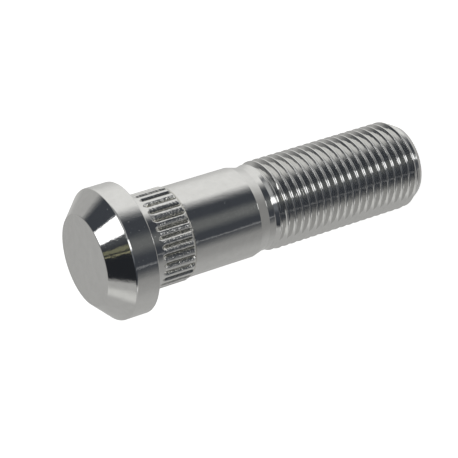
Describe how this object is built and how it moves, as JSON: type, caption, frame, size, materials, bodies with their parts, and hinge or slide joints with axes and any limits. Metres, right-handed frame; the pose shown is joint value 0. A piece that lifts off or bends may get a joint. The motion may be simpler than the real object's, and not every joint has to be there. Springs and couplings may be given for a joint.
{
  "type": "wheel stud",
  "caption": "Press-in wheel stud: round head with a bevelled face, knurled seat, plain shank and a fine-threaded end that takes a wheel nut.",
  "frame": {"origin": "centre of the flat end face of the thread, on which the stud stands", "axes": "+Z along the stud's axis, from the thread end up to the head; X and Y across the axis"},
  "size_m": [0.0228, 0.0228, 0.064],
  "materials": {
    "plated_steel": "polished"
  },
  "bodies": {
    "root": {"wheel_stud": "plated_steel"}
  },
  "joints": []
}
